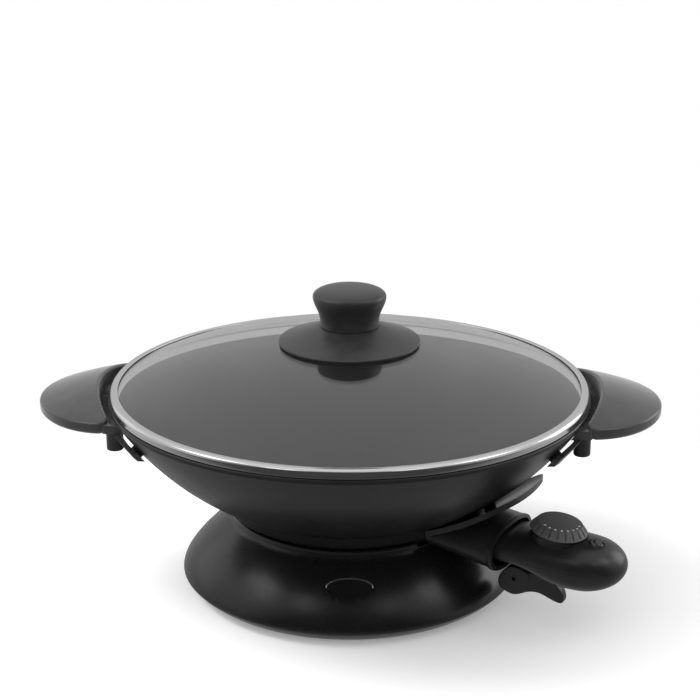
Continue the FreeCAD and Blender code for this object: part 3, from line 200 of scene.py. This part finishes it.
def pickledSteel():
    # steel pickled matt, on the skirt's inner face. It glows a little in place of the lamps' light, which
    # would reach it through the thin glass, but which the renderer doesn't send through glass
    look = {"dark": "#cfcfd0", "light": "#e8e8e9", "cloud": 5 * mm, "glow": 0.35}
    material, tree, shader, where = startMaterial("pickledSteel", look["light"], 0.5)
    cloudy = noise(tree, where, look["cloud"], 3.0)
    tint(tree, shader, spread(tree, cloudy, 0.0, 1.0), look["dark"], look["light"])
    gloss(tree, shader, cloudy, 0.42, 0.55)
    shader.inputs["Emission Color"].default_value = linear("#ffffff")
    shader.inputs["Emission Strength"].default_value = look["glow"]
    return material


def platedSteel(name, dark, light, roughness):
    # turned or pressed steel with a thin plated coat, slightly clouded by handling
    material, tree, shader, where = startMaterial(name, light, roughness[0], metallic=1.0)
    cloudy = noise(tree, where, 3 * mm, 4.0)
    tint(tree, shader, spread(tree, cloudy, 0.0, 1.0), dark, light)
    gloss(tree, shader, cloudy, *roughness)
    bump(tree, shader, noise(tree, where, 0.6 * mm, 2.0), 0.006 * mm, 0.4)
    return material


def steatite():
    # fired steatite: off-white, dry and slightly speckled
    material, tree, shader, where = startMaterial("steatite", "#d9d2c2", 0.6)
    speck = noise(tree, where, 0.8 * mm, 3.0, 0.7)
    tint(tree, shader, spread(tree, speck, 0.0, 1.0), "#cbc2ae", "#e2dccf")
    gloss(tree, shader, speck, 0.5, 0.7)
    bump(tree, shader, speck, 0.02 * mm, 0.5)
    return material


def mouldedRubber(name, dark, light, roughness):
    # moulded rubber: dull, with the bloom that comes to its surface
    material, tree, shader, where = startMaterial(name, dark, roughness[0], ior=1.5)
    bloom = noise(tree, where, 6 * mm, 4.0)
    tint(tree, shader, spread(tree, bloom, 0.0, 1.0), dark, light)
    gloss(tree, shader, bloom, *roughness)
    bump(tree, shader, noise(tree, where, 0.7 * mm, 2.0), 0.02 * mm, 0.5)
    return material


def tintedAcrylic():
    # smoke-tinted acrylic, polished: the lamp behind it is out, so it reads nearly black
    material, tree, shader, where = startMaterial("tintedAcrylic", "#363636", 0.05, ior=1.49)
    shader.inputs["Transmission Weight"].default_value = 0.6
    cloudy = noise(tree, where, 2 * mm, 2.0)
    tint(tree, shader, spread(tree, cloudy, 0.0, 1.0), "#2c2c2c", "#404040")
    gloss(tree, shader, cloudy, 0.03, 0.09)
    return material


def paintFill():
    # white filling paint, a little uneven where it was wiped
    material, tree, shader, where = startMaterial("paintFill", "#d8d8d6", 0.5)
    worn = noise(tree, where, 0.7 * mm, 3.0)
    tint(tree, shader, spread(tree, worn, 0.0, 1.0), "#b9b9b7", "#e6e6e4")
    gloss(tree, shader, worn, 0.4, 0.6)
    bump(tree, shader, worn, 0.01 * mm, 0.5)
    return material


finish = {
    "coating": nonstickCoating(),
    "enamel": enamelledSteel(),
    "handle": phenolic("phenolicPolished", "#313132", "#3c3c3d", (0.16, 0.22), haze=0.5),
    "knob": phenolic("phenolicSatin", "#222223", "#2d2d2e", (0.34, 0.44), haze=0.15),
    "base": absPlastic("absBase", "#101011", "#141415", (0.24, 0.30), 1.4 * mm, 0.002 * mm),
    "probe": absPlastic("absProbe", "#161617", "#1f1f20", (0.26, 0.33), 1.2 * mm, 0.014 * mm),
    "dial": absPlastic("absDial", "#464647", "#535354", (0.38, 0.46), 1.0 * mm, 0.014 * mm),
    "glass": temperedGlass(),
    "steel": rolledSteel(),
    "skirt": pickledSteel(),
    "chrome": platedSteel("chromePlate", "#c9cacc", "#e4e5e7", (0.10, 0.18)),
    "oxide": platedSteel("blackOxide", "#1b1b1c", "#2a2a2b", (0.40, 0.50)),
    "zinc": platedSteel("zincPlate", "#8f9194", "#b9bbbe", (0.28, 0.40)),
    "nickel": platedSteel("nickelPlate", "#93908a", "#bdb9b1", (0.22, 0.34)),
    "rivet": platedSteel("plainAluminium", "#a3a4a6", "#c7c8ca", (0.30, 0.42)),
    "brass": platedSteel("turnedBrass", "#8d7239", "#b8985a", (0.25, 0.35)),
    "ceramic": steatite(),
    "foot": mouldedRubber("nitrileRubber", "#161616", "#222222", (0.65, 0.80)),
    "seal": mouldedRubber("siliconeRubber", "#8b8d8e", "#a4a6a7", (0.45, 0.60)),
    "lens": tintedAcrylic(),
    "paint": paintFill(),
}
print("materials:", len(finish))


# ---- pieces ----
def finishPiece(name, bm, material, body, stoodFor=(), sharp=35):
    # the mesh becomes one piece, smooth where its faces meet at less than sharp degrees
    mesh = bpy.data.meshes.new(name)
    bm.to_mesh(mesh)
    bm.free()
    mesh.shade_smooth()
    mesh.set_sharp_from_angle(angle=math.radians(sharp))
    mesh.materials.append(material)
    piece = bpy.data.objects.new(name, mesh)
    scene.collection.objects.link(piece)
    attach(piece, body)
    if stoodFor:
        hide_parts(*stoodFor)
    return piece


def evenNormals(piece):
    # long thin faces of a curved shell shade evenly when large faces count more
    weigh = piece.modifiers.new("evenNormals", "WEIGHTED_NORMAL")
    weigh.keep_sharp = True
    return piece


def mergedNode(node, material, body, name, sharp=28):
    # a CAD node's triangles joined up, so that its curved faces shade smoothly
    bm = bmesh.new()
    bm.from_mesh(nodes[node].data)
    bmesh.ops.remove_doubles(bm, verts=bm.verts, dist=0.002 * mm)
    bmesh.ops.dissolve_degenerate(bm, edges=bm.edges, dist=0.001 * mm)
    return evenNormals(finishPiece(name, bm, material, body, (node,), sharp))


def arc(cx, cz, r, start, end, steps):
    # points on an arc in the (radius, height) plane, angles in degrees from the outward direction
    turns = [math.radians(start + (end - start) * i / steps) for i in range(steps + 1)]
    return [(cx + r * math.cos(t), cz + r * math.sin(t)) for t in turns]


def spun(outline, steps=288):
    # a closed outline of (radius, height) points in mm, turned once round the Z axis
    bm = bmesh.new()
    ring = [bm.verts.new((r * mm, 0, z * mm)) for r, z in outline]
    edges = [bm.edges.new(pair) for pair in zip(ring, ring[1:] + ring[:1])]
    bmesh.ops.spin(bm, geom=ring + edges, cent=(0, 0, 0), axis=(0, 0, 1), angle=math.tau, steps=steps,
                   use_merge=True)
    bmesh.ops.remove_doubles(bm, verts=bm.verts, dist=0.001 * mm)
    bmesh.ops.dissolve_degenerate(bm, edges=bm.edges, dist=0.0005 * mm)
    bmesh.ops.recalc_face_normals(bm, faces=bm.faces)
    return bm


def heights(node):
    # a node's lowest and highest point and its reach along X, in mm
    low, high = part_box(node)
    return low.z / mm, high.z / mm, high.x / mm


# ---- lid ----
def makeGlass():
    # a shallow dome with a ground, rounded edge outside and a hole in its middle
    size = {"domeR": 435.3, "thick": 4.0, "edge": 1.7, "hole": 5.0, "steps": 60, "turns": 320, "sharp": 50}
    low, top, rim = heights("lid_glass")
    centre = top - size["domeR"]
    inner = size["domeR"] - size["thick"]

    def onDome(radius, r):
        return centre + math.sqrt(radius ** 2 - r ** 2)

    steps = size["steps"]
    hole = size["hole"]
    edge = size["edge"]
    radii = [hole + (rim - edge - hole) * i / steps for i in range(steps + 1)]
    outside = [(r, onDome(size["domeR"], r)) for r in radii]
    inside = [(r, onDome(inner, r)) for r in reversed(radii)]
    midZ = (outside[-1][1] + inside[0][1]) / 2
    half = (outside[-1][1] - inside[0][1]) / 2
    bead = [(rim - edge + edge * math.cos(math.radians(a)), midZ + half * math.sin(math.radians(a)))
            for a in range(75, -76, -15)]
    dome = spun(outside + bead + inside, size["turns"])
    finishPiece("lidGlass", dome, finish["glass"], "lid", ("lid_glass",), size["sharp"])


def makeBand():
    # rolled strip: a lip over the glass, a round shoulder, the wall and a skirt that locates in the pan
    size = {"strip": 0.8, "shoulder": 3.2, "heel": 0.7, "fold": 0.4, "lip": 170.5, "skirt": 170.2,
            "seat": 0.3, "turns": 320, "sharp": 40}
    skirtLow, top, outer = heights("lid_rim_band")
    wallLow = heights("wok_pan")[1] + size["seat"]
    t = size["strip"]
    heel = size["heel"]
    fold = size["fold"]
    bend = size["shoulder"]
    outline = arc(size["lip"] + t / 2, top - t / 2, t / 2, 270, 90, 8)
    outline += arc(outer - bend, top - bend, bend, 90, 0, 14)
    outline += arc(outer - heel, wallLow + heel, heel, 0, -90, 6)
    outline += [(size["skirt"], wallLow)]
    outline += arc(size["skirt"] - t / 2, skirtLow + t / 2, t / 2, 0, -180, 6)
    outline += [(size["skirt"] - t, wallLow + t)]
    outline += arc(outer - t - fold, wallLow + t + fold, fold, -90, 0, 4)
    outline += arc(outer - bend, top - bend, bend - t, 0, 90, 14)
    strip = spun(outline, size["turns"])
    band = finishPiece("lidRimBand", strip, finish["steel"], "lid", ("lid_rim_band",),
                       size["sharp"])
    band.data.materials.append(finish["skirt"])
    for face in band.data.polygons:
        inward = face.normal.xy.dot(face.center.xy) < 0
        face.material_index = int(inward and face.center.z < (wallLow + t) * mm)


makeGlass()
makeBand()
for node, name in (("lid_knob", "lidKnob"), ("knob_heat_disc", "knobHeatDisc")):
    mergedNode(node, finish["knob"], "lid", name, 40)
print("lid done")


# ---- pan, handles and base ----
def makeBadge():
    # the bare oval plate: its raised rim is plated, its sunk field black
    size = {"turn": -88.0, "rim": 1.9, "slope": 0.8, "from": 1.12}
    badge = mergedNode("base_badge", finish["base"], "wok", "baseBadge")
    badge.data.materials.append(finish["chrome"])
    low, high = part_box("base_badge")
    middle = (low + high) / 2
    turn = math.radians(size["turn"])
    along = Vector((-math.sin(turn), math.cos(turn), 0))
    spots = [v.co - middle for v in badge.data.vertices]
    half = max(spot.dot(along) for spot in spots) - size["rim"] * mm
    tall = (high.z - low.z) / 2 - size["rim"] * mm * size["slope"]
    reach = [math.hypot(spot.dot(along) / half, spot.z / tall) for spot in spots]
    for face in badge.data.polygons:
        face.material_index = int(max(reach[v] for v in face.vertices) > size["from"])


for node, material, slot, name in (("wok_pan", "coating", "nonstick_inside", "panCasting"),
                                   ("guard_plate", "enamel", "dark_metal", "guardPlate"),
                                   ("probe_shroud", "probe", "black_phenolic", "probeShroud"),
                                   ("right_handle", "handle", "black_phenolic", "rightHandle"),
                                   ("left_handle", "handle", "black_phenolic", "leftHandle"),
                                   ("right_handle_bracket", "knob", "black_phenolic", "rightHandleBracket"),
                                   ("left_handle_bracket", "knob", "black_phenolic", "leftHandleBracket"),
                                   ("base_shell", "base", "black_gloss", "baseShell")):
    mergedNode(node, finish[material], "wok", name)
makeBadge()
print("pan, handles and base done")


# ---- probe, dial and trigger ----
for node, material, body, slot, name in (
        ("probe_upper_housing", "probe", "probe", "black_phenolic", "probeUpperHousing"),
        ("probe_lower_housing", "probe", "probe", "black_phenolic", "probeLowerHousing"),
        ("indicator_lens", "lens", "probe", "lens_plastic", "indicatorLens"),
        ("control_dial", "dial", "dial", "black_phenolic", "controlDial"),
        ("release_trigger", "probe", "trigger", "black_phenolic", "releaseTrigger")):
    mergedNode(node, finish[material], body, name)
print("probe, dial and trigger done")


# ---- finishes of the CAD nodes that stay ----
kept = {
    "nickel": ("heating_element", "terminal_pins", "sensing_rod", "bimetal_blade", "contact_points",
               "dial_shaft"),
    "zinc": ("shroud_screws", "handle_screws", "base_screws", "housing_screws", "thermostat_frame"),
    "oxide": ("trigger_pin",),
    "steel": ("knob_washer", "knob_screw"),
    "rivet": ("bracket_rivets",),
    "brass": ("knob_insert", "contact_sleeves", "contact_blades", "dial_bushing"),
    "ceramic": ("terminal_insulators", "contact_carrier", "ceramic_spacers"),
    "seal": ("knob_gaskets",),
    "foot": ("rubber_feet", "cord_gland"),
    "base": ("base_seat_ring",),
    "lens": ("indicator_lamp",),
    "paint": ("dial_marks",),
}
for material, names in kept.items():
    for name in names:
        slots = nodes[name].data.materials
        slots.clear()
        slots.append(finish[material])
print("finishes given to", sum(len(names) for names in kept.values()), "kept nodes")


# ---- floor, light and camera ----
def makeFloor():
    # pale painted floor; away from the object the camera sees it as plain white, and what is polished
    # mirrors it pale behind and dark in front
    size = {"radius": 9.0, "clear": (0.24, 0.42), "lift": 0.21, "mirrored": (0.05, 0.50),
            "frontBack": (-0.40, 0.08)}
    bm = bmesh.new()
    bmesh.ops.create_circle(bm, cap_ends=True, radius=size["radius"], segments=96)
    mesh = bpy.data.meshes.new("floor")
    bm.to_mesh(mesh)
    bm.free()
    floor = bpy.data.objects.new("floor", mesh)
    scene.collection.objects.link(floor)
    material, tree, shader, where = startMaterial("paleFloor", "#f2f2f2", 0.9)
    shader.inputs["Specular IOR Level"].default_value = 0.0
    path = addNode(tree, "ShaderNodeLightPath").outputs
    place = addNode(tree, "ShaderNodeSeparateXYZ", {}, {"Vector": where})
    grade = {"From Min": size["frontBack"][0], "From Max": size["frontBack"][1],
             "To Min": size["mirrored"][0], "To Max": size["mirrored"][1]}
    depth = addNode(tree, "ShaderNodeMapRange", grade, {"Value": place.outputs["Y"]})
    mirrored = addNode(tree, "ShaderNodeEmission", {}, {"Strength": depth.outputs["Result"]})
    white = addNode(tree, "ShaderNodeEmission", {"Strength": 1.0})
    lift = addNode(tree, "ShaderNodeEmission", {"Strength": size["lift"]})
    lifted = addNode(tree, "ShaderNodeAddShader", {}, {0: shader.outputs[0], 1: lift.outputs[0]})
    near = addNode(tree, "ShaderNodeMixShader", {},
                   {0: path["Is Camera Ray"], 1: shader.outputs[0], 2: lifted.outputs[0]})
    away = addNode(tree, "ShaderNodeVectorMath", {"operation": "LENGTH"}, {0: where}).outputs["Value"]
    ramp = {"interpolation_type": "SMOOTHSTEP", "From Min": size["clear"][0], "From Max": size["clear"][1]}
    far = addNode(tree, "ShaderNodeMapRange", ramp, {"Value": away}).outputs["Result"]
    seen = addNode(tree, "ShaderNodeMixShader", {}, {0: far, 1: near.outputs[0], 2: white.outputs[0]})
    final = addNode(tree, "ShaderNodeMixShader", {},
                    {0: path["Is Glossy Ray"], 1: seen.outputs[0], 2: mirrored.outputs[0]})
    tree.links.new(final.outputs[0], tree.nodes["Material Output"].inputs["Surface"])
    mesh.materials.append(material)


def makeWorld():
    # a white tent with an open, dark front, brighter towards its roof; it lights most from the left
    tent = {"front": -0.70, "side": -0.16, "roof": 0.8, "dark": 0.05, "low": 0.46, "high": 0.74,
            "left": 1.2, "right": 0.62}
    world = bpy.data.worlds.new("tent")
    scene.world = world
    world.use_nodes = True
    tree = world.node_tree
    where = addNode(tree, "ShaderNodeTexCoord").outputs["Generated"]
    place = addNode(tree, "ShaderNodeSeparateXYZ", {}, {"Vector": where})
    wall = {"From Min": 0.0, "From Max": tent["roof"], "To Min": tent["low"], "To Max": tent["high"]}
    roof = addNode(tree, "ShaderNodeMapRange", wall, {"Value": place.outputs["Z"]})
    mouth = {"interpolation_type": "SMOOTHSTEP", "From Min": tent["front"], "From Max": tent["side"],
             "To Min": tent["dark"]}
    tone = addNode(tree, "ShaderNodeMapRange", mouth,
                   {"Value": place.outputs["Y"], "To Max": roof.outputs["Result"]})
    sides = {"From Min": -1.0, "From Max": 1.0, "To Min": tent["left"], "To Max": tent["right"]}
    fill = addNode(tree, "ShaderNodeMapRange", sides, {"Value": place.outputs["X"]})
    path = addNode(tree, "ShaderNodeLightPath").outputs
    soft = addNode(tree, "ShaderNodeMapRange", {},
                   {"Value": path["Is Diffuse Ray"], "To Min": tone.outputs["Result"],
                    "To Max": fill.outputs["Result"]})
    shade = addNode(tree, "ShaderNodeMapRange", {"To Max": 1.0},
                    {"Value": path["Is Camera Ray"], "To Min": soft.outputs["Result"]})
    background = tree.nodes["Background"]
    background.inputs["Color"].default_value = linear("#ffffff")
    tree.links.new(shade.outputs["Result"], background.inputs["Strength"])


lamps = {
    # place, side in metres, power in watts, and whether polished faces and glass show it
    "overhead": ((-1.05, 0.15, 1.35), 0.95, 18, False),
    "leftBox": ((-0.95, -0.15, 1.15), 0.50, 1.3, True),
    "rightBox": ((0.95, -0.15, 1.15), 0.50, 0.9, True),
    "frontLeft": ((-0.55, -0.75, 1.25), 0.34, 0.40, True),
    "frontRight": ((0.55, -0.75, 1.25), 0.34, 0.28, True),
    "rearLeft": ((-1.0, 0.55, 0.45), 0.6, 0.35, True),
    "rearRight": ((1.0, 0.45, 0.45), 0.6, 1.8, True),
}
lampTarget = Vector((0, 0, 0.05))


def addLamp(name, place, side, power, mirrored):
    lamp = bpy.data.lights.new(name, "AREA")
    lamp.shape = "RECTANGLE"
    lamp.size = lamp.size_y = side
    lamp.energy = power
    holder = bpy.data.objects.new(name, lamp)
    scene.collection.objects.link(holder)
    holder.visible_glossy = mirrored
    holder.visible_transmission = mirrored
    holder.location = place
    holder.rotation_euler = (lampTarget - Vector(place)).to_track_quat("-Z", "Y").to_euler()


def makeCamera():
    view = {"place": (0.0454, -1.2992, 0.6046), "tilt": 71.88, "turn": 2.0, "lens": 95.6, "shiftX": 0.0006}
    camera = bpy.data.objects.new("camera", bpy.data.cameras.new("camera"))
    scene.collection.objects.link(camera)
    camera.location = view["place"]
    camera.rotation_euler = (math.radians(view["tilt"]), 0, math.radians(view["turn"]))
    camera.data.lens = view["lens"]
    camera.data.sensor_width = 36
    camera.data.shift_x = view["shiftX"]
    scene.camera = camera


makeFloor()
makeWorld()
for name, setting in lamps.items():
    addLamp(name, *setting)
makeCamera()
scene.view_settings.view_transform = "Standard"
print("floor, light and camera done")
